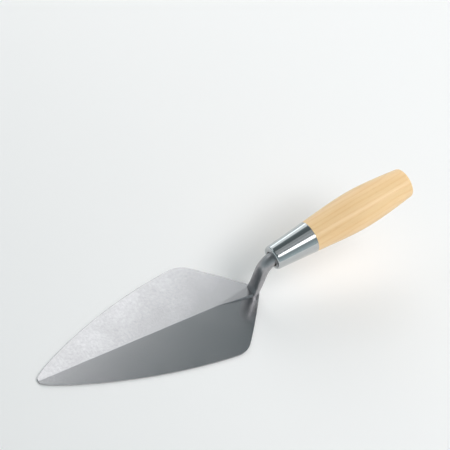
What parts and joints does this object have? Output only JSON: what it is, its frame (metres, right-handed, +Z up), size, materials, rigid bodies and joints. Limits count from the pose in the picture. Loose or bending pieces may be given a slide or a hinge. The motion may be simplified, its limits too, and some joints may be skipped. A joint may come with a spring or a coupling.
{
  "type": "brick trowel",
  "caption": "Bricklayer's trowel: pointed steel blade with a ridge and forged boss, bent round shank, metal ferrule and a turned wooden handle.",
  "frame": {"origin": "on the flat underside of the blade, directly below the foot of the shank", "axes": "+X along the blade to its tip, +Z up out of the blade's upper face, XZ the plane of symmetry; the handle runs back towards -X and up"},
  "size_m": [0.4126, 0.1142, 0.0972],
  "materials": {
    "ground_steel": "satin, ground and lacquered",
    "forged_steel": "satin, linished",
    "weld_metal": "ground flush",
    "polished_ferrule": "polished",
    "pale_hardwood": "turned, sanded and lightly varnished",
    "cast_resin": "cured resin"
  },
  "bodies": {
    "root": {"blade": "ground_steel", "shank": "forged_steel", "shank_weld": "weld_metal", "ferrule": "polished_ferrule", "handle": "pale_hardwood", "tang_bedding": "cast_resin"}
  },
  "joints": []
}
